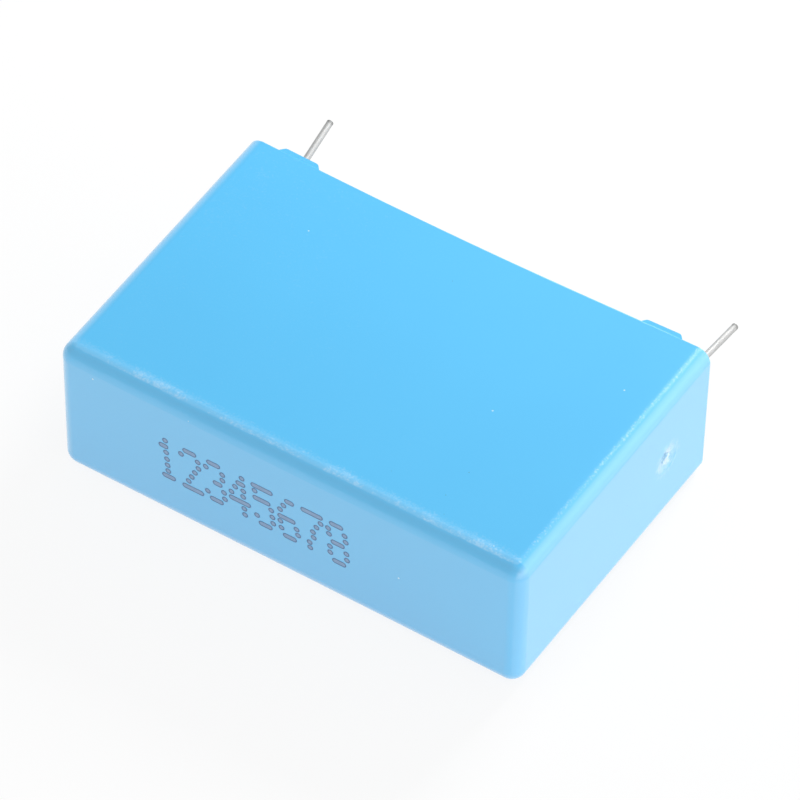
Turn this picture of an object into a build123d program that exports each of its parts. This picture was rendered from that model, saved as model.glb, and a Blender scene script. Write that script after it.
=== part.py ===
from build123d import *
import os
from math import radians, tan

# Box film capacitor, lying on one of its wide walls. Sizes are in millimetres.
# A drafted plastic cup holds a flattened film winding with a wire lead welded to each sprayed end,
# and resin fills the rest up to just below the rim.
# X runs along the lead pitch, Y from the closed end of the cup to the lead tips, Z across the wide walls.
# The pieces are made with y = 0 at the closed end and z = 0 half way between the wide walls. At the end
# they are moved together, so that the origin is under the middle of the whole part.

# Leads: tinned wire, bent a little by handling, with splay outwards and lift upwards in degrees
LEAD_PITCH = 22.5
LEAD_DIAMETER = 0.35
LEAD_LENGTH = 5.7
LEAD_OFFSET = 0.45
LEAD_STRAIGHT = 0.25
LEAD_BEND_RADIUS = 1.2
LEFT_SPLAY = 7.5
LEFT_LIFT = 2.9
RIGHT_SPLAY = 0.9
RIGHT_LIFT = -7.0

# Case: moulded cup, its wide walls pulled in at the rim by the shrinking resin
CASE_HEIGHT = 16.6
CASE_THICKNESS = 8.35
WALL = 0.8
FLOOR = 0.9
DRAFT_ANGLE = 0.5
EDGE_RADIUS = 0.75
INNER_RADIUS = 0.4
RIM_OUTER_CHAMFER = 0.08
RIM_INNER_CHAMFER = 0.15
WALL_BOW = 0.3

# Stand-off feet on the rim of the two wide walls
FOOT_LENGTH = 2.35
FOOT_HEIGHT = 0.3
FOOT_FROM_END = 1.6
FOOT_SETBACK = 0.1
FOOT_END_RUN = 0.25
FOOT_ROUNDING = 0.25

# Scar that the moulding gate left in one end wall: a shallow dish with a torn stub in it
GATE_DIAMETER = 1.7
GATE_DEPTH = 0.12
GATE_FROM_RIM = 3.65
GATE_STUB_DIAMETER = 0.6
GATE_STUB_HEIGHT = 0.08
GATE_TEAR_ANGLE = 12.0

# Resin: how far it stops below the rim, and how it climbs the walls and the leads
RESIN_RECESS = 0.55
MENISCUS_RISE = 0.3
MENISCUS_LAND = 0.08
COLLAR_RISE = 0.25
COLLAR_LAND = 0.05

# Winding and its sprayed metal ends, with the resin that surrounds them
ELEMENT_SHIFT = -0.15
SPRAY_THICKNESS = 0.5
WELD_BITE = 0.1
WELD_FROM_WINDING_END = 2.0
RESIN_END_GAP = 0.775
RESIN_SIDE_GAP = 0.35
RESIN_FLOOR_GAP = 0.6
RESIN_COVER = 1.4
WINDING_ROUNDNESS = 0.48

LEFT, RIGHT = -1, 1
LEAD_RADIUS = LEAD_DIAMETER / 2
CASE_LENGTH = LEAD_PITCH + LEAD_DIAMETER + 2 * (RESIN_END_GAP + WALL)
RESIN_LEVEL = CASE_HEIGHT - RESIN_RECESS
BEND_HEIGHT = RESIN_LEVEL + COLLAR_RISE + LEAD_STRAIGHT
TIP_HEIGHT = CASE_HEIGHT + LEAD_LENGTH
WINDING_BOTTOM = FLOOR + RESIN_FLOOR_GAP
WINDING_TOP = RESIN_LEVEL - RESIN_COVER
SPRAY_FACE = LEAD_PITCH / 2 - LEAD_RADIUS + WELD_BITE
WINDING_END = SPRAY_FACE - SPRAY_THICKNESS


def draft_at(y):
    """How far the draft has drawn each wall in at height y, counted from the rim."""
    return (CASE_HEIGHT - y) * tan(radians(DRAFT_ANGLE))


def bow_at(y):
    """How far the middle of each wide wall is pulled in at height y, counted from the closed end."""
    return WALL_BOW * y / CASE_HEIGHT


def level(y):
    """Plane across the case at height y, facing the lead tips."""
    return Plane(origin=(0, y, 0), x_dir=(1, 0, 0), z_dir=(0, 1, 0))


def wide_wall(start, end, bow):
    """One wide wall in section: straight, or an arc with its middle pulled in towards the centre."""
    if bow == 0:
        return Line(start, end)
    inwards = -1 if start[1] > 0 else 1
    return ThreePointArc(start, (0, start[1] + inwards * bow), end)


def case_section(y, inset):
    """Section of the case at height y, inset from its outside: straight end walls, bowed wide walls."""
    half_length = CASE_LENGTH / 2 - inset - draft_at(y)
    half_thickness = CASE_THICKNESS / 2 - inset - draft_at(y)
    low_left, low_right = (-half_length, -half_thickness), (half_length, -half_thickness)
    high_left, high_right = (-half_length, half_thickness), (half_length, half_thickness)
    walls = [
        wide_wall(low_left, low_right, bow_at(y)),
        Line(low_right, high_right),
        wide_wall(high_right, high_left, bow_at(y)),
        Line(high_left, low_left),
    ]
    return level(y) * make_face(walls)


def case_block(low, high, inset, radius, sharp_floor=False):
    """Drafted block between two heights, with its edges rounded except round its mouth."""
    block = loft([case_section(low, inset), case_section(high, inset)], ruled=True)
    floor, *_, mouth = block.faces().sort_by(Axis.Y)
    sharp = mouth.edges() + floor.edges() if sharp_floor else mouth.edges()
    return fillet(block.edges() - sharp, radius)


def make_cavity():
    """The space inside the cup, from its floor to the rim."""
    return case_block(FLOOR, CASE_HEIGHT, WALL, INNER_RADIUS, sharp_floor=True)


def make_feet():
    """Four low feet with sloping, rounded ends, two on each wide wall, following the bow of the wall."""
    rim_band = case_section(CASE_HEIGHT, FOOT_SETBACK) - case_section(CASE_HEIGHT, WALL - RIM_INNER_CHAMFER)
    outer_end = CASE_LENGTH / 2 - FOOT_FROM_END
    inner_end = outer_end - FOOT_LENGTH
    foot_top = CASE_HEIGHT + FOOT_HEIGHT
    profile = Polyline(
        (inner_end, CASE_HEIGHT),
        (inner_end + FOOT_END_RUN, foot_top),
        (outer_end - FOOT_END_RUN, foot_top),
        (outer_end, CASE_HEIGHT),
        close=True,
    )
    outline = make_face(profile)
    outline = fillet(outline.vertices().group_by(Axis.Y)[-1], FOOT_ROUNDING)
    right_pair = extrude(outline, amount=CASE_THICKNESS, both=True)
    return extrude(rim_band, amount=FOOT_HEIGHT) & (right_pair + mirror(right_pair, about=Plane.YZ))


def gate_place():
    """Centre of the gate scar on the end wall, with Z out of the wall."""
    y = CASE_HEIGHT - GATE_FROM_RIM
    x = CASE_LENGTH / 2 - draft_at(y)
    return Plane(origin=(x, y, 0), x_dir=(0, 1, 0), z_dir=(1, 0, 0))


def make_gate_dish():
    """Lens that cuts the shallow dish of the gate scar."""
    half_width = GATE_DIAMETER / 2
    radius = (half_width**2 + GATE_DEPTH**2) / (2 * GATE_DEPTH)
    return gate_place() * Pos(0, 0, radius - GATE_DEPTH) * Sphere(radius)


def make_gate_stub():
    """Stub in the middle of the dish, torn off at a slant."""
    stub = Cylinder(GATE_STUB_DIAMETER / 2, WALL)
    tear = Plane(origin=(0, 0, GATE_STUB_HEIGHT - GATE_DEPTH)).rotated((GATE_TEAR_ANGLE, 0, 0))
    return gate_place() * split(stub, bisect_by=tear, keep=Keep.BOTTOM)


def make_case(cavity):
    """The moulded cup with its softened rim, its feet and the scar of its gate."""
    cup = case_block(0, CASE_HEIGHT, 0, EDGE_RADIUS) - cavity
    rim = cup.faces().sort_by(Axis.Y)[-1]
    cup = chamfer(rim.inner_wires()[0].edges(), RIM_INNER_CHAMFER)
    rim = cup.faces().sort_by(Axis.Y)[-1]
    cup = chamfer(rim.outer_wire().edges(), RIM_OUTER_CHAMFER)
    return cup + make_feet() - make_gate_dish() + make_gate_stub()


def lead_axis(side):
    """Where a lead crosses the case, as x: half the pitch to its side of the element's middle."""
    return ELEMENT_SHIFT + side * LEAD_PITCH / 2


def make_lead(side, splay, lift):
    """A round wire, straight through the resin, then bent outwards and up to its tip, cropped square."""
    x = lead_axis(side)
    reach = TIP_HEIGHT - BEND_HEIGHT
    foot = (x, WINDING_BOTTOM + WELD_FROM_WINDING_END, LEAD_OFFSET)
    bend = (x, BEND_HEIGHT, LEAD_OFFSET)
    tip_x = x + side * reach * tan(radians(splay))
    tip_z = LEAD_OFFSET + reach * tan(radians(lift))
    route = FilletPolyline(foot, bend, (tip_x, TIP_HEIGHT, tip_z), radius=LEAD_BEND_RADIUS)
    return sweep(Plane(origin=route @ 0, z_dir=route % 0) * Circle(LEAD_RADIUS), path=route)


def winding_section(x):
    """Outline of the flattened winding across the plane at x."""
    half_thickness = min(
        CASE_THICKNESS / 2 - WALL - draft_at(y) - bow_at(y) for y in (WINDING_BOTTOM, WINDING_TOP)
    )
    height = WINDING_TOP - WINDING_BOTTOM
    thickness = 2 * (half_thickness - RESIN_SIDE_GAP)
    rounding = WINDING_ROUNDNESS * min(height, thickness)
    middle = (WINDING_BOTTOM + WINDING_TOP) / 2
    across = Plane(origin=(ELEMENT_SHIFT + x, middle, 0), x_dir=(0, 1, 0), z_dir=(1, 0, 0))
    return across * RectangleRounded(height, thickness, rounding)


def make_winding():
    """The flattened roll of metallised film."""
    return extrude(winding_section(-WINDING_END), amount=2 * WINDING_END)


def make_spray(side, lead):
    """Metal layer sprayed on one end of the winding, with the groove that the welded lead sinks into."""
    return extrude(winding_section(side * WINDING_END), amount=side * SPRAY_THICKNESS) - lead


def make_collar(side):
    """Resin drawn up round a lead in a low cone."""
    top = LEAD_RADIUS + COLLAR_LAND
    outline = Polyline((0, 0), (top + COLLAR_RISE, 0), (top, COLLAR_RISE), (0, COLLAR_RISE), close=True)
    collar = revolve(make_face(outline), axis=Axis.Y)
    return Pos(lead_axis(side), RESIN_LEVEL, LEAD_OFFSET) * collar


def make_resin(cavity, inserts):
    """Resin round everything in the cup, dished where it has climbed the walls."""
    top = RESIN_LEVEL + MENISCUS_RISE
    fill = split(cavity, bisect_by=level(top), keep=Keep.BOTTOM)
    dish = case_block(RESIN_LEVEL, top + MENISCUS_RISE, WALL + MENISCUS_LAND, MENISCUS_RISE)
    fill = fill - dish + make_collar(LEFT) + make_collar(RIGHT)
    return fill - inserts


def make_pieces():
    """Every piece of the capacitor, by name."""
    cavity = make_cavity()
    lead_left = make_lead(LEFT, LEFT_SPLAY, LEFT_LIFT)
    lead_right = make_lead(RIGHT, RIGHT_SPLAY, RIGHT_LIFT)
    inside = {
        "film_winding": make_winding(),
        "end_spray_left": make_spray(LEFT, lead_left),
        "end_spray_right": make_spray(RIGHT, lead_right),
        "lead_left": lead_left,
        "lead_right": lead_right,
    }
    resin = make_resin(cavity, list(inside.values()))
    return {"case": make_case(cavity), "resin_fill": resin} | inside


pieces = make_pieces()
box = Compound(list(pieces.values())).bounding_box()
to_origin = Pos(-box.center().X, -box.center().Y, -box.min.Z)

os.makedirs("parts", exist_ok=True)
for name, piece in pieces.items():
    export_step(to_origin * piece, f"parts/{name}.step")
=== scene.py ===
import logging
import math
import random
from abc import ABC, abstractmethod
from collections.abc import Callable
from dataclasses import dataclass
from enum import Enum
from itertools import groupby
from typing import ClassVar

import bpy
from mathutils import Matrix, Vector


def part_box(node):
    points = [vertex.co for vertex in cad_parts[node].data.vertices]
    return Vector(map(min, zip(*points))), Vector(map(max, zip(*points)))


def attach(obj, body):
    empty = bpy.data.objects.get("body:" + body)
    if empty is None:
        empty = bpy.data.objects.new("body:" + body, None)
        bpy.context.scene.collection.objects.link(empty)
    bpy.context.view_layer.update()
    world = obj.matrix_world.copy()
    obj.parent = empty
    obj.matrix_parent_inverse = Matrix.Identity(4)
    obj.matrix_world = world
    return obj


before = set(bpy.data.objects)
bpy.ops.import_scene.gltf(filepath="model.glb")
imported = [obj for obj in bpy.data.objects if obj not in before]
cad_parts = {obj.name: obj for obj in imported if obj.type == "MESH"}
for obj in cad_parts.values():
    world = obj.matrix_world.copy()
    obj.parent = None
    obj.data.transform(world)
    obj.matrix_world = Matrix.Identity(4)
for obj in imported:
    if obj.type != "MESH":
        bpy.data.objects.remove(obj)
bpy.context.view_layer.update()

log = logging.getLogger("capacitor")
MM = 0.001
RIGHT_ANGLE = 90.0
MATRIX_ROWS = 4
WHITE = "#FFFFFF"

# Sockets of a Mix node that mixes colours. They go by number, because other sockets share their names.
MIX_SHARE = 0
MIX_FROM = 6
MIX_TO = 7
MIX_RESULT = 2


class Body(str, Enum):
    """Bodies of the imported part. Nothing on it moves, so there is only one."""

    ROOT = "root"


class Node(str, Enum):
    """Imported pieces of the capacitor."""

    CASE = "case"
    RESIN = "resin_fill"
    WINDING = "film_winding"
    LEFT_SPRAY = "end_spray_left"
    RIGHT_SPRAY = "end_spray_right"
    LEFT_LEAD = "lead_left"
    RIGHT_LEAD = "lead_right"


class Slot(str, Enum):
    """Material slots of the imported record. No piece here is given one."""

    CASE = "case_plastic"


class Select(str, Enum):
    """What a modelling step selects."""

    VERTICES = "VERT"
    FACES = "FACE"


class Octaves(float, Enum):
    """How many octaves a noise has, and so how fine it gets within one cell."""

    SMOOTH = 1.0
    CLOUDY = 2.0
    FINE = 3.0
    GRITTY = 4.0


class Speck(str, Enum):
    """Colour channel that draws which cells of the case hold a speck of each kind."""

    DUST = "Red"
    DIRT = "Green"


def linear(hex_code: str) -> tuple[float, float, float, float]:
    """Turns an sRGB colour such as #64C4FA into the linear colour that shaders read.

    Args:
        hex_code: Colour as a hash sign and six hexadecimal digits.

    Returns:
        Linear red, green and blue, and full alpha.
    """
    channels = [int(hex_code[i : i + 2], 16) / 255 for i in (1, 3, 5)]
    # The curve of the sRGB standard has a short straight start and is a power from there on.
    red, green, blue = [c / 12.92 if c <= 0.04045 else ((c + 0.055) / 1.055) ** 2.4 for c in channels]
    return red, green, blue, 1.0


def per_metre(size_mm: float) -> float:
    """Texture scale at which one pattern cell measures size_mm."""
    return 1.0 / (size_mm * MM)


def add_node(
    tree: bpy.types.NodeTree, kind: str, inputs: dict[int | str, object] | None = None, **settings: object
) -> bpy.types.Node:
    """Adds a shader node, sets its properties, and fills or links its inputs.

    Args:
        tree: Node tree that receives the node.
        kind: Blender's name of the node type, without its ShaderNode prefix.
        inputs: Constant value or output socket for each input, by the input's name or number.
        settings: Properties of the node, by name.

    Returns:
        The new node.
    """
    node = tree.nodes.new("ShaderNode" + kind)
    for name, value in settings.items():
        setattr(node, name, value)
    for socket, value in (inputs or {}).items():
        if isinstance(value, bpy.types.NodeSocket):
            tree.links.new(value, node.inputs[socket])
        else:
            node.inputs[socket].default_value = value
    return node


def edit_selected(piece: bpy.types.Object, kind: Select, chosen: Callable[[Vector], bool]) -> None:
    """Opens a piece in edit mode with only the chosen vertices or faces selected.

    Args:
        piece: Mesh object that is open in object mode.
        kind: Whether vertices or faces are selected.
        chosen: Says whether a vertex, or a face by its middle, is selected, from its place in the
            piece's own axes.
    """
    bpy.ops.object.mode_set(mode="EDIT")
    bpy.ops.mesh.select_mode(type=kind.value)
    bpy.ops.mesh.select_all(action="DESELECT")
    bpy.ops.object.mode_set(mode="OBJECT")
    if kind is Select.VERTICES:
        for vertex in piece.data.vertices:
            vertex.select = chosen(vertex.co)
    else:
        for face in piece.data.polygons:
            face.select = chosen(face.center)
    bpy.ops.object.mode_set(mode="EDIT")


def looking_from(place: Vector, azimuth: float, elevation: float) -> Matrix:
    """Turns a lamp or a camera, which looks down its own Z axis, to look from one side of the part.

    Args:
        place: Point that it is turned about.
        azimuth: Degrees from the front of the part, counted towards its gate end.
        elevation: Degrees above the floor.

    Returns:
        Matrix that turns it and moves it to the place.
    """
    turn = Matrix.Rotation(math.radians(azimuth), MATRIX_ROWS, "Z")
    tilt = Matrix.Rotation(math.radians(RIGHT_ANGLE - elevation), MATRIX_ROWS, "X")
    return Matrix.Translation(place) @ turn @ tilt


class Finish(ABC):
    """A surface finish, which makes its material from nodes."""

    name: str

    @abstractmethod
    def surface(self, tree: bpy.types.NodeTree) -> bpy.types.NodeSocket:
        """Builds the shader of the finish.

        Args:
            tree: Empty node tree of the material.

        Returns:
            Output of the shader.
        """

    def material(self) -> bpy.types.Material:
        """Makes the material of the finish.

        Returns:
            A new material with the finish as its surface.
        """
        material = bpy.data.materials.new(self.name)
        material.use_nodes = True
        tree = material.node_tree
        tree.nodes.clear()
        add_node(tree, "OutputMaterial", {"Surface": self.surface(tree)})
        return material

    def dress(self, *pieces: bpy.types.Object) -> None:
        """Gives the finish to whole pieces.

        Args:
            pieces: Objects whose materials are replaced by this finish.
        """
        material = self.material()
        for piece in pieces:
            piece.data.materials.clear()
            piece.data.materials.append(material)
            log.info("%s is finished in %s", piece.name, self.name)


@dataclass(frozen=True)
class MouldedPolyester(Finish):
    """Glass-filled polyester, injection-moulded in a lightly spark-eroded tool.

    The pigment gives a clear sky blue, and the resin-rich skin over the glass an even satin gloss. The
    edges of the wide walls are worn pale by rubbing in bulk. The rounded edges of the gate end are
    painted evenly paler: a painted highlight that lifts their shading to that of the end wall. The gate
    tore off and left a pale spot with dark flecks; the stub in its middle is painted paler still, painted
    light that washes out the shade on the stub's sides. There are a few specks of dust and dirt.

    Attributes:
        scar_centre: Middle of the gate scar on the end wall, in metres.
        closed_end: Where the closed end lies along Y, in metres.
        scuff_reach_mm: How far the noise pulls the scuffs of the closed end onto the flat of the wall.
        scuff_fade_mm: Width over which those scuffs fade in.
        scuff_lift: Upward part of the normal where they have ended, and where they still hold.
        gate_edge_fray: How much the noise adds to the turn of the normal at the gate end.
        gate_edge_turn: Sideward part of the normal where the scuffs of the gate end start, and where they
            are full.
        gate_edge_lift: Upward part of the normal where they have ended, and where they still hold.
        gate_edge_break: Noise where a fleck of wear at the gate end starts, and where it is full.
        gate_edge_share: How pale the scuffs of the gate end are, against those of the closed end.
        painted_light_turn: Sideward part of the normal where the painted highlight on the roundings of the
            gate end starts, and where it is full.
        painted_light_lift: The same for the upward part of the normal, or its part towards the closed end.
        painted_light_upright: How much of that painted highlight the upright rounding has, as a share.
        scuff_break: Noise where the first specks show, and where they are full.
        scar_fade: Distance with noise, in scar radii, where the pale spot has ended, and where it is full.
        stub_light_fade: The same for the stub in its middle, which is painted paler still as painted light
            over its shade.
        fleck_fade: Distance in scar radii where the dark flecks have ended, and where they are full.
        fleck_break: Noise where a dark fleck starts, and where it is full.
    """

    scar_centre: Vector
    closed_end: float
    name: str = "glass_filled_polyester_moulded"
    blue: str = "#51C7FE"
    deep_blue: str = "#4DC3FB"
    # Pale blue of the worn edges, also used for the painted highlight on the roundings of the gate end.
    pale_wear_and_light: str = "#A0DAFF"
    dust: str = "#CDEEFF"
    dirt: str = "#3E7FA8"
    scar: str = "#C4EBFF"
    # Painted light: the stub is painted near white, paler than the scar round it, to wash out the shade on
    # its sides.
    pale_stub_and_light: str = "#D4F0FF"
    ior: float = 1.73
    skin_roughness: float = 0.24
    smooth_roughness: float = 0.29
    scuffed_roughness: float = 0.6
    grain_strength: float = 0.06
    grain_depth_mm: float = 0.02
    mottle_mm: float = 7.0
    grain_mm: float = 0.16
    scuff_relief: float = 3.0
    edge_radius_mm: float = 0.75
    scuff_reach_mm: float = 0.9
    scuff_fade_mm: float = 0.6
    scuff_lift: tuple[float, float] = (0.92, 0.97)
    gate_edge_fray: float = 0.2
    gate_edge_turn: tuple[float, float] = (0.1, 0.3)
    gate_edge_lift: tuple[float, float] = (0.9, 0.97)
    gate_edge_break: tuple[float, float] = (0.5, 0.62)
    gate_edge_share: float = 0.65
    # Painted highlight: the roundings of the gate end are painted paler, lifting their shading to that of
    # the end wall.
    painted_light_turn: tuple[float, float] = (0.35, 0.6)
    painted_light_lift: tuple[float, float] = (0.1, 0.35)
    painted_light_opacity: float = 0.3
    painted_light_upright: float = 0.5
    scuff_fray_mm: float = 0.12
    scuff_patch_mm: float = 1.1
    scuff_speck_mm: float = 0.13
    scuff_speck_contrast: float = 0.6
    scuff_haze: float = 0.3
    scuff_opacity: float = 0.9
    scuff_break: tuple[float, float] = (0.98, 1.25)
    speck_spacing_mm: float = 0.9
    dust_share: float = 0.07
    dust_mm: float = 0.12
    dirt_share: float = 0.25
    dirt_mm: float = 0.06
    scar_radius_mm: float = 1.0
    scar_patch_mm: float = 0.35
    scar_fade: tuple[float, float] = (1.7, 0.7)
    scar_opacity: float = 0.65
    # Painted light: how far and how strongly the stub is painted paler than the scar round it.
    stub_light_fade: tuple[float, float] = (1.05, 0.8)
    stub_light_opacity: float = 0.9
    fleck_mm: float = 0.1
    fleck_fade: tuple[float, float] = (0.95, 0.6)
    fleck_break: tuple[float, float] = (0.56, 0.64)
    fleck_opacity: float = 0.3

    def surface(self, tree: bpy.types.NodeTree) -> bpy.types.NodeSocket:
        """Builds the plastic from its pigment, worn edges, painted light on the gate end, gate scar,
        specks and grain.

        Args:
            tree: Empty node tree of the material.

        Returns:
            Output of the shader.
        """
        place = add_node(tree, "TexCoord").outputs["Object"]
        scuff_and_painted_light = self.scuff_and_painted_light(tree, place)
        colour = self.pigment(tree, place)
        layers = (
            # Worn edges, and the painted highlight on the roundings of the gate end.
            (self.pale_wear_and_light, scuff_and_painted_light),
            (self.scar, self.scar_patch(tree, place, self.scar_fade, self.scar_opacity)),
            # The stub's layer is painted light over the shade on its sides.
            (self.pale_stub_and_light, self.scar_patch(tree, place, self.stub_light_fade, self.stub_light_opacity)),
            (self.dirt, self.scar_flecks(tree, place)),
            (self.dust, self.specks(tree, place, Speck.DUST, self.dust_share, self.dust_mm)),
            (self.dirt, self.specks(tree, place, Speck.DIRT, self.dirt_share, self.dirt_mm)),
        )
        for hex_code, mask in layers:
            colour = add_node(tree, "Mix", {
                MIX_SHARE: mask, MIX_FROM: colour, MIX_TO: linear(hex_code),
            }, data_type="RGBA").outputs[MIX_RESULT]
        grain = add_node(tree, "TexNoise", {
            "Vector": place, "Scale": per_metre(self.grain_mm), "Detail": Octaves.CLOUDY.value,
        }).outputs["Fac"]
        rough = add_node(tree, "MapRange", {
            "Value": scuff_and_painted_light, "To Min": self.smooth_roughness, "To Max": self.scuffed_roughness,
        }).outputs["Result"]
        relief = add_node(tree, "Math", {
            0: scuff_and_painted_light, 1: self.scuff_relief, 2: grain,
        }, operation="MULTIPLY_ADD").outputs[0]
        bump = add_node(tree, "Bump", {
            "Strength": self.grain_strength, "Distance": self.grain_depth_mm * MM, "Height": relief,
        }).outputs["Normal"]
        return add_node(tree, "BsdfPrincipled", {
            "Base Color": colour,
            "Roughness": rough,
            "IOR": self.ior,
            "Coat Weight": 1.0,
            "Coat Roughness": self.skin_roughness,
            "Coat IOR": self.ior,
            "Normal": bump,
        }).outputs["BSDF"]

    def pigment(self, tree: bpy.types.NodeTree, place: bpy.types.NodeSocket) -> bpy.types.NodeSocket:
        """Makes the blue of the plastic, a little uneven where the melt flowed.

        Args:
            tree: Node tree of the material.
            place: Object coordinates.

        Returns:
            The colour.
        """
        flow = add_node(tree, "TexNoise", {
            "Vector": place, "Scale": per_metre(self.mottle_mm), "Detail": Octaves.FINE.value,
        }).outputs["Fac"]
        return add_node(tree, "Mix", {
            MIX_SHARE: flow, MIX_FROM: linear(self.deep_blue), MIX_TO: linear(self.blue),
        }, data_type="RGBA").outputs[MIX_RESULT]

    def scuffed_edge(self, tree: bpy.types.NodeTree, place: bpy.types.NodeSocket) -> bpy.types.NodeSocket:
        """Finds where a wide wall rounds off at the closed end, over a soft band, and at the gate end.

        Args:
            tree: Node tree of the material.
            place: Object coordinates.

        Returns:
            1 on the worn edges and 0 elsewhere.
        """
        normal = add_node(tree, "NewGeometry").outputs["Normal"]
        facing = add_node(tree, "SeparateXYZ", {"Vector": normal}).outputs
        lift = add_node(tree, "Math", {0: facing["Z"]}, operation="ABSOLUTE").outputs[0]
        fray = add_node(tree, "TexNoise", {
            "Vector": place, "Scale": per_metre(self.scuff_fray_mm), "Detail": Octaves.FINE.value,
        }).outputs["Fac"]
        along = add_node(tree, "SeparateXYZ", {"Vector": place}).outputs["Y"]
        from_end = add_node(tree, "Math", {
            0: fray, 1: -self.scuff_reach_mm * MM, 2: along,
        }, operation="MULTIPLY_ADD").outputs[0]
        turned = add_node(tree, "Math", {
            0: fray, 1: self.gate_edge_fray, 2: facing["X"],
        }, operation="MULTIPLY_ADD").outputs[0]
        flat = self.closed_end + self.edge_radius_mm * MM
        edges = []
        for value, (start, full), (gone, held) in (
            (from_end, (flat, flat - self.scuff_fade_mm * MM), self.scuff_lift),
            (turned, self.gate_edge_turn, self.gate_edge_lift),
        ):
            inside = add_node(tree, "MapRange", {
                "Value": value, "From Min": start, "From Max": full,
            }, interpolation_type="SMOOTHSTEP").outputs["Result"]
            outside = add_node(tree, "MapRange", {
                "Value": lift, "From Min": gone, "From Max": held,
            }, interpolation_type="SMOOTHSTEP").outputs["Result"]
            edges.append(add_node(tree, "Math", {0: inside, 1: outside}, operation="MULTIPLY").outputs[0])
        flecks = add_node(tree, "MapRange", {
            "Value": fray,
            "From Min": self.gate_edge_break[0],
            "From Max": self.gate_edge_break[1],
            "To Max": self.gate_edge_share,
        }).outputs["Result"]
        gate_edge = add_node(tree, "Math", {0: edges[1], 1: flecks}, operation="MULTIPLY").outputs[0]
        return add_node(tree, "Math", {0: edges[0], 1: gate_edge}, operation="MAXIMUM").outputs[0]

    def scuff_and_painted_light(self, tree: bpy.types.NodeTree, place: bpy.types.NodeSocket) -> bpy.types.NodeSocket:
        """Breaks the worn edges up into a faint haze with pale specks, and adds the painted highlight.

        Args:
            tree: Node tree of the material.
            place: Object coordinates.

        Returns:
            How pale the plastic is, from 0 to 1: worn at the edges, and a painted highlight at the gate
                end.
        """
        patches = add_node(tree, "TexNoise", {
            "Vector": place, "Scale": per_metre(self.scuff_patch_mm), "Detail": Octaves.CLOUDY.value,
        }).outputs["Fac"]
        specks = add_node(tree, "TexNoise", {
            "Vector": place,
            "Scale": per_metre(self.scuff_speck_mm),
            "Detail": Octaves.CLOUDY.value,
            "Roughness": self.scuff_speck_contrast,
        }).outputs["Fac"]
        broken = add_node(tree, "Math", {0: patches, 1: specks}, operation="ADD").outputs[0]
        broken = add_node(tree, "MapRange", {
            "Value": broken,
            "From Min": self.scuff_break[0],
            "From Max": self.scuff_break[1],
            "To Min": self.scuff_haze,
            "To Max": self.scuff_opacity,
        }).outputs["Result"]
        edge = self.scuffed_edge(tree, place)
        worn = add_node(tree, "Math", {0: edge, 1: broken}, operation="MULTIPLY").outputs[0]
        # The painted highlight on the roundings of the gate end joins the wear here.
        return add_node(tree, "Math", {0: worn, 1: self.painted_end_light(tree)}, operation="MAXIMUM").outputs[0]

    def painted_end_light(self, tree: bpy.types.NodeTree) -> bpy.types.NodeSocket:
        """Finds the roundings round the gate end, which get a painted highlight, the upright one less.

        Args:
            tree: Node tree of the material.

        Returns:
            How pale the painted highlight makes them, from 0 to 1.
        """
        normal = add_node(tree, "NewGeometry").outputs["Normal"]
        facing = add_node(tree, "SeparateXYZ", {"Vector": normal}).outputs
        lift = add_node(tree, "Math", {0: facing["Z"]}, operation="ABSOLUTE").outputs[0]
        back = add_node(tree, "Math", {0: facing["Y"], 1: -1.0}, operation="MULTIPLY").outputs[0]
        at_end, at_wall, at_closed_end = [
            add_node(tree, "MapRange", {
                "Value": value, "From Min": start, "From Max": full, "To Max": most,
            }, interpolation_type="SMOOTHSTEP").outputs["Result"]
            for value, (start, full), most in (
                (facing["X"], self.painted_light_turn, self.painted_light_opacity),
                (lift, self.painted_light_lift, 1.0),
                (back, self.painted_light_lift, self.painted_light_upright),
            )
        ]
        beside = add_node(tree, "Math", {0: at_wall, 1: at_closed_end}, operation="MAXIMUM").outputs[0]
        return add_node(tree, "Math", {0: at_end, 1: beside}, operation="MULTIPLY").outputs[0]

    def specks(
        self,
        tree: bpy.types.NodeTree,
        place: bpy.types.NodeSocket,
        kind: Speck,
        share: float,
        size_mm: float,
    ) -> bpy.types.NodeSocket:
        """Scatters tiny round specks.

        Args:
            tree: Node tree of the material.
            place: Object coordinates.
            kind: What the specks are.
            share: Share of the cells that hold one.
            size_mm: Diameter of a speck.

        Returns:
            1 in a speck and 0 elsewhere.
        """
        cells = add_node(tree, "TexVoronoi", {"Vector": place, "Scale": per_metre(self.speck_spacing_mm)})
        chance = add_node(tree, "SeparateColor", {"Color": cells.outputs["Color"]}).outputs[kind.value]
        chosen = add_node(tree, "Math", {0: chance, 1: share}, operation="LESS_THAN").outputs[0]
        radius = size_mm / 2 / self.speck_spacing_mm
        spot = add_node(tree, "MapRange", {
            "Value": cells.outputs["Distance"], "From Min": radius, "From Max": radius / 2,
        }).outputs["Result"]
        return add_node(tree, "Math", {0: chosen, 1: spot}, operation="MULTIPLY").outputs[0]

    def from_scar(self, tree: bpy.types.NodeTree, place: bpy.types.NodeSocket) -> bpy.types.NodeSocket:
        """Measures the distance from the middle of the gate scar.

        Args:
            tree: Node tree of the material.
            place: Object coordinates.

        Returns:
            The distance in scar radii.
        """
        away = add_node(tree, "VectorMath", {0: place, 1: self.scar_centre}, operation="DISTANCE")
        radii = {0: away.outputs["Value"], 1: per_metre(self.scar_radius_mm)}
        return add_node(tree, "Math", radii, operation="MULTIPLY").outputs[0]

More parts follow.
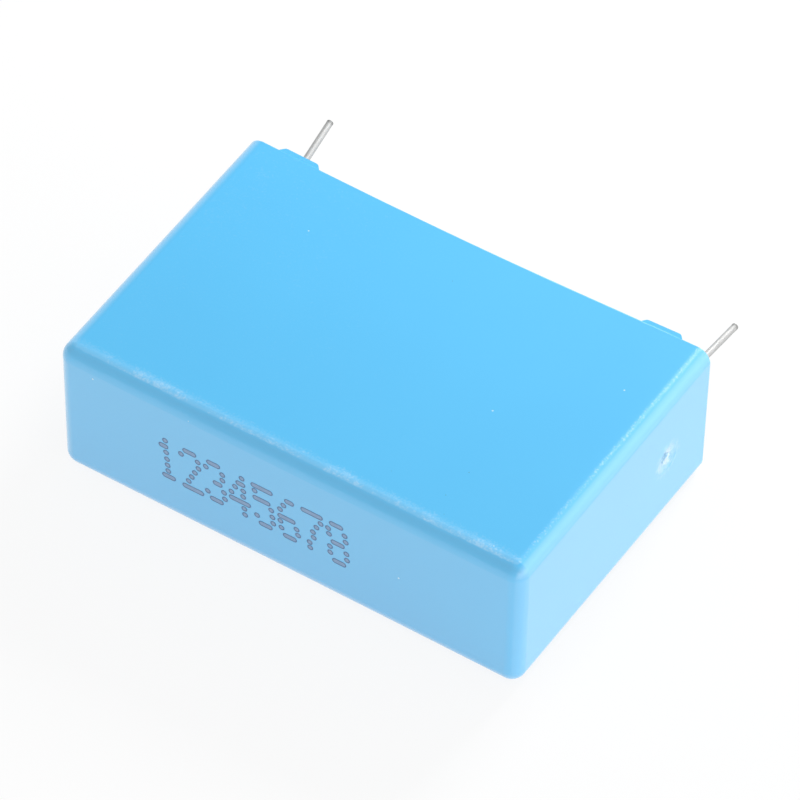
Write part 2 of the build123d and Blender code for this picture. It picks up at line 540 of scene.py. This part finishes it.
    def scar_patch(
        self,
        tree: bpy.types.NodeTree,
        place: bpy.types.NodeSocket,
        fade: tuple[float, float],
        opacity: float,
    ) -> bpy.types.NodeSocket:
        """Finds the pale spot where the gate tore off, or its stub, painted paler still as painted light.

        Args:
            tree: Node tree of the material.
            place: Object coordinates.
            fade: Distance with noise, in scar radii, where the spot has ended, and where it is full.
            opacity: How pale it is at most.

        Returns:
            How pale the spot is, from 0 to 1.
        """
        uneven = add_node(tree, "TexNoise", {
            "Vector": place, "Scale": per_metre(self.scar_patch_mm), "Detail": Octaves.FINE.value,
        }).outputs["Fac"]
        reach = add_node(tree, "Math", {
            0: self.from_scar(tree, place), 1: uneven,
        }, operation="ADD").outputs[0]
        return add_node(tree, "MapRange", {
            "Value": reach,
            "From Min": fade[0],
            "From Max": fade[1],
            "To Max": opacity,
        }, interpolation_type="SMOOTHSTEP").outputs["Result"]

    def scar_flecks(self, tree: bpy.types.NodeTree, place: bpy.types.NodeSocket) -> bpy.types.NodeSocket:
        """Finds the dark broken marks in the middle of the gate scar.

        Args:
            tree: Node tree of the material.
            place: Object coordinates.

        Returns:
            How dark a mark is, from 0 to 1.
        """
        marks = add_node(tree, "TexNoise", {
            "Vector": place, "Scale": per_metre(self.fleck_mm), "Detail": Octaves.CLOUDY.value,
        }).outputs["Fac"]
        near = add_node(tree, "MapRange", {
            "Value": self.from_scar(tree, place),
            "From Min": self.fleck_fade[0],
            "From Max": self.fleck_fade[1],
        }).outputs["Result"]
        dark = add_node(tree, "MapRange", {
            "Value": marks,
            "From Min": self.fleck_break[0],
            "From Max": self.fleck_break[1],
            "To Max": self.fleck_opacity,
        }).outputs["Result"]
        return add_node(tree, "Math", {0: near, 1: dark}, operation="MULTIPLY").outputs[0]


@dataclass(frozen=True)
class PottingEpoxy(Finish):
    """Mineral-filled epoxy, poured and cured: a duller blue than the case, glossy and faintly wavy."""

    name: str = "filled_epoxy_poured"
    blue: str = "#4C93BE"
    settled: str = "#437FA9"
    ior: float = 1.55
    roughness: float = 0.22
    wave_mm: float = 3.5
    wave_depth_mm: float = 0.15
    wave_strength: float = 0.5
    filler_mm: float = 0.25

    def surface(self, tree: bpy.types.NodeTree) -> bpy.types.NodeSocket:
        """Builds the resin from its settled filler and its wavy skin.

        Args:
            tree: Empty node tree of the material.

        Returns:
            Output of the shader.
        """
        place = add_node(tree, "TexCoord").outputs["Object"]
        filler = add_node(tree, "TexNoise", {
            "Vector": place, "Scale": per_metre(self.filler_mm), "Detail": Octaves.FINE.value,
        }).outputs["Fac"]
        colour = add_node(tree, "Mix", {
            MIX_SHARE: filler, MIX_FROM: linear(self.settled), MIX_TO: linear(self.blue),
        }, data_type="RGBA").outputs[MIX_RESULT]
        wave = add_node(tree, "TexNoise", {
            "Vector": place, "Scale": per_metre(self.wave_mm), "Detail": Octaves.SMOOTH.value,
        }).outputs["Fac"]
        bump = add_node(tree, "Bump", {
            "Strength": self.wave_strength, "Distance": self.wave_depth_mm * MM, "Height": wave,
        }).outputs["Normal"]
        return add_node(tree, "BsdfPrincipled", {
            "Base Color": colour, "Roughness": self.roughness, "IOR": self.ior, "Normal": bump,
        }).outputs["BSDF"]


@dataclass(frozen=True)
class TinnedCopper(Finish):
    """Copper wire, drawn and hot-tinned, then cropped.

    The tin gives a pale grey metal with fine lines along it and a soft shine. The last bit of wire is
    a darker grey, and the cut face shows the copper.

    Attributes:
        tip: Where the wire ends along Y, in metres.
        cut_facing: Part of the normal along Y where the cut face starts, and where it is full.
    """

    tip: float
    name: str = "tinned_copper_drawn"
    tin: str = "#CCCCCB"
    worn: str = "#B8B8B7"
    tip_grey: str = "#949493"
    copper: str = "#B98467"
    shiny_roughness: float = 0.65
    worn_roughness: float = 0.8
    line_mm: float = 0.06
    line_run_mm: float = 2.5
    line_depth_mm: float = 0.01
    line_strength: float = 0.2
    tip_grey_mm: float = 0.3
    cut_facing: tuple[float, float] = (0.8, 0.95)

    def surface(self, tree: bpy.types.NodeTree) -> bpy.types.NodeSocket:
        """Builds the metal from its tin, the lines of the drawing die and the cropped end.

        Args:
            tree: Empty node tree of the material.

        Returns:
            Output of the shader.
        """
        place = add_node(tree, "TexCoord").outputs["Object"]
        across, along = per_metre(self.line_mm), per_metre(self.line_run_mm)
        drawn = add_node(tree, "Mapping", {"Vector": place, "Scale": (across, along, across)})
        lines = add_node(tree, "TexNoise", {
            "Vector": drawn.outputs["Vector"], "Scale": 1.0, "Detail": Octaves.CLOUDY.value,
        }).outputs["Fac"]
        colour = add_node(tree, "Mix", {
            MIX_SHARE: lines, MIX_FROM: linear(self.worn), MIX_TO: linear(self.tin),
        }, data_type="RGBA").outputs[MIX_RESULT]
        reach = add_node(tree, "SeparateXYZ", {"Vector": place}).outputs["Y"]
        cropped = add_node(tree, "MapRange", {
            "Value": reach, "From Min": self.tip - self.tip_grey_mm * MM, "From Max": self.tip,
        }, interpolation_type="SMOOTHSTEP").outputs["Result"]
        normal = add_node(tree, "NewGeometry").outputs["Normal"]
        facing = add_node(tree, "SeparateXYZ", {"Vector": normal}).outputs["Y"]
        cut = add_node(tree, "MapRange", {
            "Value": facing, "From Min": self.cut_facing[0], "From Max": self.cut_facing[1],
        }).outputs["Result"]
        for hex_code, mask in ((self.tip_grey, cropped), (self.copper, cut)):
            colour = add_node(tree, "Mix", {
                MIX_SHARE: mask, MIX_FROM: colour, MIX_TO: linear(hex_code),
            }, data_type="RGBA").outputs[MIX_RESULT]
        rough = add_node(tree, "MapRange", {
            "Value": lines, "To Min": self.worn_roughness, "To Max": self.shiny_roughness,
        }).outputs["Result"]
        bump = add_node(tree, "Bump", {
            "Strength": self.line_strength, "Distance": self.line_depth_mm * MM, "Height": lines,
        }).outputs["Normal"]
        return add_node(tree, "BsdfPrincipled", {
            "Base Color": colour, "Metallic": 1.0, "Roughness": rough, "Normal": bump,
        }).outputs["BSDF"]


@dataclass(frozen=True)
class MetallisedFilm(Finish):
    """Polypropylene film with an evaporated metal layer, wound tight: silvery, lined by its turns.

    Attributes:
        PHASE: Radians that the bands of a wave texture run through in one unit of length.
    """

    PHASE: ClassVar[float] = 20.0

    name: str = "metallised_film_wound"
    silver: str = "#C6CBD1"
    gap: str = "#8D949C"
    roughness: float = 0.3
    turn_mm: float = 0.12
    turn_depth_mm: float = 0.02
    turn_strength: float = 0.3
    turn_wander: float = 1.5

    def surface(self, tree: bpy.types.NodeTree) -> bpy.types.NodeSocket:
        """Builds the roll from the lines of its turns, drawn coarser than the film so that they show.

        Args:
            tree: Empty node tree of the material.

        Returns:
            Output of the shader.
        """
        place = add_node(tree, "TexCoord").outputs["Object"]
        bands_per_unit = self.PHASE / math.tau
        turns = add_node(tree, "TexWave", {
            "Vector": place,
            "Scale": per_metre(self.turn_mm) / bands_per_unit,
            "Distortion": self.turn_wander,
            "Detail": Octaves.CLOUDY.value,
        }, bands_direction="Z").outputs["Fac"]
        colour = add_node(tree, "Mix", {
            MIX_SHARE: turns, MIX_FROM: linear(self.gap), MIX_TO: linear(self.silver),
        }, data_type="RGBA").outputs[MIX_RESULT]
        bump = add_node(tree, "Bump", {
            "Strength": self.turn_strength, "Distance": self.turn_depth_mm * MM, "Height": turns,
        }).outputs["Normal"]
        return add_node(tree, "BsdfPrincipled", {
            "Base Color": colour, "Metallic": 1.0, "Roughness": self.roughness, "Normal": bump,
        }).outputs["BSDF"]


@dataclass(frozen=True)
class SprayedZinc(Finish):
    """Zinc, sprayed as molten drops: a dull grey crust of fine grit."""

    name: str = "zinc_flame_sprayed"
    crest: str = "#A4A7A9"
    pit: str = "#6F7274"
    roughness: float = 0.65
    grit_mm: float = 0.14
    grit_contrast: float = 0.6
    grit_depth_mm: float = 0.05
    grit_strength: float = 0.8

    def surface(self, tree: bpy.types.NodeTree) -> bpy.types.NodeSocket:
        """Builds the crust from its grit.

        Args:
            tree: Empty node tree of the material.

        Returns:
            Output of the shader.
        """
        place = add_node(tree, "TexCoord").outputs["Object"]
        grit = add_node(tree, "TexNoise", {
            "Vector": place,
            "Scale": per_metre(self.grit_mm),
            "Detail": Octaves.GRITTY.value,
            "Roughness": self.grit_contrast,
        }).outputs["Fac"]
        colour = add_node(tree, "Mix", {
            MIX_SHARE: grit, MIX_FROM: linear(self.pit), MIX_TO: linear(self.crest),
        }, data_type="RGBA").outputs[MIX_RESULT]
        bump = add_node(tree, "Bump", {
            "Strength": self.grit_strength, "Distance": self.grit_depth_mm * MM, "Height": grit,
        }).outputs["Normal"]
        return add_node(tree, "BsdfPrincipled", {
            "Base Color": colour, "Metallic": 1.0, "Roughness": self.roughness, "Normal": bump,
        }).outputs["BSDF"]


@dataclass(frozen=True)
class MarkingInk(Finish):
    """Solvent ink, jetted on the plastic: matt and violet-grey, paler where it dried thin.

    Attributes:
        full: Colour where the ink is dense.
        thin: Colour where it is less dense.
    """

    name: str
    full: str
    thin: str
    ior: float = 1.5
    roughness: float = 0.5
    patch_mm: float = 0.3

    def surface(self, tree: bpy.types.NodeTree) -> bpy.types.NodeSocket:
        """Builds the ink, a little uneven in its density.

        Args:
            tree: Empty node tree of the material.

        Returns:
            Output of the shader.
        """
        place = add_node(tree, "TexCoord").outputs["Object"]
        density = add_node(tree, "TexNoise", {
            "Vector": place, "Scale": per_metre(self.patch_mm), "Detail": Octaves.CLOUDY.value,
        }).outputs["Fac"]
        colour = add_node(tree, "Mix", {
            MIX_SHARE: density, MIX_FROM: linear(self.full), MIX_TO: linear(self.thin),
        }, data_type="RGBA").outputs[MIX_RESULT]
        return add_node(tree, "BsdfPrincipled", {
            "Base Color": colour, "Roughness": self.roughness, "IOR": self.ior,
        }).outputs["BSDF"]


@dataclass(frozen=True)
class StudioFloor(Finish):
    """Matt white board, washed with white for the eye and the metal, with a soft shadow left on it.

    Attributes:
        wash: Share of plain white that the camera sees in the board.
    """

    name: str = "white_board"
    board: str = "#F7F7F7"
    wash: float = 0.88

    def surface(self, tree: bpy.types.NodeTree) -> bpy.types.NodeSocket:
        """Builds the board: lit paint, part white for the camera and plain white in reflections.

        Args:
            tree: Empty node tree of the material.

        Returns:
            Output of the shader.
        """
        path = add_node(tree, "LightPath").outputs
        seen = add_node(tree, "Math", {
            0: path["Is Camera Ray"], 1: self.wash,
        }, operation="MULTIPLY").outputs[0]
        mirrored = add_node(tree, "Math", {
            0: path["Is Glossy Ray"], 1: path["Is Transmission Ray"],
        }, operation="MAXIMUM").outputs[0]
        share = add_node(tree, "Math", {0: seen, 1: mirrored}, operation="MAXIMUM").outputs[0]
        paint = add_node(tree, "BsdfDiffuse", {"Color": linear(self.board)}).outputs[0]
        white = add_node(tree, "Emission", {"Color": linear(WHITE), "Strength": 1.0}).outputs[0]
        return add_node(tree, "MixShader", {0: share, 1: paint, 2: white}).outputs[0]


@dataclass
class MouldedCase:
    """The moulded case and the resin that closes it."""

    gate_from_rim_mm: float = 3.65
    foot_height_mm: float = 0.3

    def gate(self) -> Vector:
        """Works out where the gate scar is.

        Returns:
            Its middle on the end wall, in metres.
        """
        low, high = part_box(Node.CASE.value)
        rim = high.y - self.foot_height_mm * MM
        return Vector((high.x, rim - self.gate_from_rim_mm * MM, (low.z + high.z) / 2))

    def dress(self) -> None:
        """Finishes the case in moulded plastic and the fill in poured resin."""
        closed_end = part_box(Node.CASE.value)[0].y
        plastic = MouldedPolyester(scar_centre=self.gate(), closed_end=closed_end)
        plastic.dress(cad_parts[Node.CASE.value])
        PottingEpoxy().dress(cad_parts[Node.RESIN.value])


@dataclass
class WoundElement:
    """The film winding with its sprayed ends and the leads that are welded to them."""

    def dress(self) -> None:
        """Finishes the film, the sprayed zinc and the tinned leads."""
        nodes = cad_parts
        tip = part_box(Node.LEFT_LEAD.value)[1].y
        MetallisedFilm().dress(nodes[Node.WINDING.value])
        SprayedZinc().dress(nodes[Node.LEFT_SPRAY.value], nodes[Node.RIGHT_SPRAY.value])
        TinnedCopper(tip=tip).dress(nodes[Node.LEFT_LEAD.value], nodes[Node.RIGHT_LEAD.value])


@dataclass
class JettedPrint:
    """A row of plain counting digits on the closed end of the case, jetted in drops of ink.

    Each digit is a grid of drops. Drops that land side by side run together into one bar, and the ink of a
    drop or a bar dries with a dark rim round a paler middle.
    """

    digits: str = "12345678"
    left_mm: float = -7.2
    top_mm: float = 5.36
    column_mm: float = 0.23
    row_mm: float = 0.41
    character_mm: float = 1.37
    drop_mm: float = 0.33
    rim_mm: float = 0.06
    film_mm: float = 0.012
    dish_mm: float = 0.004
    slant_deg: float = 4.0
    scatter_mm: float = 0.018
    drop_sides: int = 16
    seed: int = 7

    SHAPES: ClassVar[dict[str, tuple[str, ...]]] = {
        "1": ("..#..", ".##..", "..#..", "..#..", "..#..", "..#..", ".###."),
        "2": (".###.", "#...#", "....#", "...#.", "..#..", ".#...", "#####"),
        "3": (".###.", "#...#", "....#", "..##.", "....#", "#...#", ".###."),
        "4": ("...#.", "..##.", ".#.#.", "#..#.", "#####", "...#.", "...#."),
        "5": ("#####", "#....", "####.", "....#", "....#", "#...#", ".###."),
        "6": ("..##.", ".#...", "#....", "####.", "#...#", "#...#", ".###."),
        "7": ("#####", "....#", "...#.", "..#..", "..#..", ".#...", ".#..."),
        "8": (".###.", "#...#", "#...#", ".###.", "#...#", "#...#", ".###."),
    }

    def runs(self) -> list[tuple[int, Vector]]:
        """Works out which drops run together and where they land.

        Returns:
            How many drops each run has, and the middle of its first drop on the closed end, in metres.
        """
        chance = random.Random(self.seed)
        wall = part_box(Node.CASE.value)[0].y
        lean = math.tan(math.radians(self.slant_deg))
        found = []
        for number, digit in enumerate(self.digits):
            for row, line in enumerate(self.SHAPES[digit]):
                column = 0
                for mark, drops in groupby(line):
                    count = len(list(drops))
                    if mark == "#":
                        down = row * self.row_mm + chance.gauss(0, self.scatter_mm)
                        along = number * self.character_mm + column * self.column_mm
                        along += down * lean + chance.gauss(0, self.scatter_mm)
                        place = Vector(((self.left_mm + along) * MM, wall, (self.top_mm - down) * MM))
                        found.append((count, place))
                    column += count
        return found

    def model_run(self, count: int) -> bpy.types.Object:
        """Models dried ink at the origin: one drop, drawn out to a bar where several run together.

        Args:
            count: How many drops run together.

        Returns:
            A thin plate that faces the way the closed end does, dished inside a rim.
        """
        bpy.ops.object.select_all(action="DESELECT")
        bpy.ops.mesh.primitive_cylinder_add(
            vertices=self.drop_sides, radius=self.drop_mm * MM / 2, depth=self.film_mm * MM,
            rotation=(math.pi / 2, math.pi / self.drop_sides, 0),
        )
        ink = bpy.context.object
        bpy.ops.object.transform_apply(location=True, rotation=True, scale=True)
        edit_selected(ink, Select.VERTICES, lambda place: place.x > 0)
        bpy.ops.transform.translate(value=((count - 1) * self.column_mm * MM, 0, 0))
        bpy.ops.object.mode_set(mode="OBJECT")
        front = min(face.center.y for face in ink.data.polygons)
        edit_selected(ink, Select.FACES, lambda middle: middle.y <= front)
        bpy.ops.mesh.inset(thickness=self.rim_mm * MM, depth=-self.dish_mm * MM)
        bpy.ops.object.mode_set(mode="OBJECT")
        return ink

    def dish_plane(self) -> float:
        """Where the dished middle of the ink lies along Y, in metres from the middle of the film."""
        return -(self.film_mm / 2 - self.dish_mm) * MM

    def build(self) -> bpy.types.Object:
        """Prints all runs of drops and joins them into one piece.

        Returns:
            The print, at the origin, riding on the case.
        """
        rim = MarkingInk("jetted_ink", full="#5A7AA2", thin="#6888B0").material()
        middle = MarkingInk("jetted_ink_thin", full="#8AA8CA", thin="#98B4D4").material()
        runs = self.runs()
        patterns = {count: self.model_run(count) for count in sorted({count for count, _ in runs})}
        for pattern in patterns.values():
            pattern.data.materials.append(rim)
            pattern.data.materials.append(middle)
            inner = min(pattern.data.polygons, key=lambda face: abs(face.center.y - self.dish_plane()))
            inner.material_index = pattern.data.materials.find(middle.name)
        copies = []
        for count, place in runs:
            copy = patterns[count].copy()
            copy.data = patterns[count].data.copy()
            copy.location = place
            bpy.context.collection.objects.link(copy)
            copies.append(copy)
        for pattern in patterns.values():
            bpy.data.objects.remove(pattern)
        bpy.ops.object.select_all(action="DESELECT")
        for copy in copies:
            copy.select_set(True)
        bpy.context.view_layer.objects.active = copies[0]
        bpy.ops.object.join()
        bpy.ops.object.transform_apply(location=True, rotation=True, scale=True)
        piece = bpy.context.object
        piece.name = "jetted_print"
        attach(piece, Body.ROOT.value)
        log.info("%s has %d runs of drops", piece.name, len(copies))
        return piece


@dataclass
class Lamp:
    """A soft box, aimed at the capacitor.

    Attributes:
        name: Name of the lamp.
        azimuth: Degrees from the front of the part, counted towards its gate end.
        elevation: Degrees above the floor.
        distance: Metres from the middle of the part.
        width: Width of the soft box in metres.
        height: Its height in metres.
        level: Brightness that it gives to a white sheet that faces it, where 1 is white.
    """

    name: str
    azimuth: float
    elevation: float
    distance: float
    width: float
    height: float
    level: float

    def build(self, target: Vector) -> None:
        """Hangs the lamp and aims it.

        Args:
            target: Point that the lamp faces.
        """
        data = bpy.data.lights.new(self.name, "AREA")
        data.shape = "RECTANGLE"
        data.size = self.width
        data.size_y = self.height
        # A soft box of this power lights a white sheet at its distance to the level.
        data.energy = self.level * (math.pi * self.distance) ** 2
        lamp = bpy.data.objects.new(self.name, data)
        away = Matrix.Translation((0, 0, self.distance))
        lamp.matrix_world = looking_from(target, self.azimuth, self.elevation) @ away
        lamp.visible_camera = False
        bpy.context.collection.objects.link(lamp)


@dataclass
class Studio:
    """White floor, soft light and the camera at the photograph's place.

    Attributes:
        horizon: Brightness of the surroundings close above the floor.
        near_sky: Brightness of the surroundings on the camera's side.
        far_sky: Brightness of the surroundings behind the part and high up.
        near_rise: Upward part of a direction, from 0 to 1, where the horizon ends and the near sky starts.
        far_rise: The same for the far sky.
        sky_turn: Backward part of a direction, from -1 to 1, where the near sky ends and where the far sky
            is full.
        camera_mm: Where the camera stands.
        azimuth: Degrees from the front of the part that it looks from, counted towards the gate end.
        elevation: Degrees above the floor that it looks from.
        roll: Degrees that it leans.
    """

    floor_radius: float = 3.0
    floor_sides: int = 96
    horizon: float = 1.0
    near_sky: float = 0.67
    far_sky: float = 0.3
    near_rise: tuple[float, float] = (0.08, 0.16)
    far_rise: tuple[float, float] = (0.35, 0.65)
    sky_turn: tuple[float, float] = (-0.2, 0.4)
    camera_mm: tuple[float, float, float] = (93.219, -150.053, 196.236)
    azimuth: float = 32.068
    elevation: float = 47.712
    roll: float = 1.064
    lens_mm: float = 246.235
    sensor_mm: float = 36.0

    LAMPS: ClassVar[tuple[Lamp, ...]] = (
        Lamp(
            name="back_light",
            azimuth=173,
            elevation=34,
            distance=0.13,
            width=0.035,
            height=0.035,
            level=0.78,
        ),
        Lamp(
            name="side_panel",
            azimuth=135,
            elevation=27,
            distance=0.3,
            width=0.12,
            height=0.32,
            level=0.08,
        ),
        Lamp(
            name="low_fill",
            azimuth=78,
            elevation=12,
            distance=0.4,
            width=0.6,
            height=0.3,
            level=0.36,
        ),
    )

    def build_floor(self) -> None:
        """Lays the floor under the part."""
        bpy.ops.object.select_all(action="DESELECT")
        bpy.ops.mesh.primitive_circle_add(
            vertices=self.floor_sides, radius=self.floor_radius, fill_type="NGON", location=(0, 0, 0)
        )
        floor = bpy.context.object
        floor.name = "floor"
        StudioFloor().dress(floor)

    def build_world(self) -> None:
        """Surrounds the part with soft light: white low down, grey above and darkest behind the part."""
        world = bpy.data.worlds.new("studio")
        world.use_nodes = True
        tree = world.node_tree
        tree.nodes.clear()
        direction = add_node(tree, "TexCoord").outputs["Generated"]
        towards = add_node(tree, "SeparateXYZ", {"Vector": direction}).outputs
        near, far = [
            add_node(tree, "MapRange", {
                "Value": towards["Z"],
                "From Min": start,
                "From Max": end,
                "To Min": self.horizon,
                "To Max": sky,
            }).outputs["Result"]
            for sky, (start, end) in ((self.near_sky, self.near_rise), (self.far_sky, self.far_rise))
        ]
        level = add_node(tree, "MapRange", {
            "Value": towards["Y"],
            "From Min": self.sky_turn[0],
            "From Max": self.sky_turn[1],
            "To Min": near,
            "To Max": far,
        }, interpolation_type="SMOOTHSTEP").outputs["Result"]
        light = add_node(tree, "Background", {"Color": linear(WHITE), "Strength": level}).outputs[0]
        add_node(tree, "OutputWorld", {"Surface": light})
        bpy.context.scene.world = world

    def build_lamps(self, target: Vector) -> None:
        """Hangs the soft boxes.

        Args:
            target: Point that the lamps face.
        """
        for lamp in self.LAMPS:
            lamp.build(target)

    def build_camera(self) -> None:
        """Sets up the camera with the photograph's view."""
        data = bpy.data.cameras.new("photograph")
        data.lens = self.lens_mm
        data.sensor_width = self.sensor_mm
        camera = bpy.data.objects.new("photograph", data)
        roll = Matrix.Rotation(math.radians(self.roll), MATRIX_ROWS, "Z")
        place = Vector(self.camera_mm) * MM
        camera.matrix_world = looking_from(place, self.azimuth, self.elevation) @ roll
        bpy.context.collection.objects.link(camera)
        bpy.context.scene.camera = camera

    def build(self) -> None:
        """Builds the studio round the part."""
        low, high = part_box(Node.CASE.value)
        self.build_floor()
        self.build_world()
        self.build_lamps((low + high) / 2)
        self.build_camera()
        bpy.context.scene.view_settings.view_transform = "Standard"


def main() -> None:
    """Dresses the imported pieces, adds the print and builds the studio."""
    logging.basicConfig(level=logging.INFO, format="%(name)s: %(message)s")
    MouldedCase().dress()
    WoundElement().dress()
    JettedPrint().build()
    Studio().build()


if __name__ == "__main__":
    main()
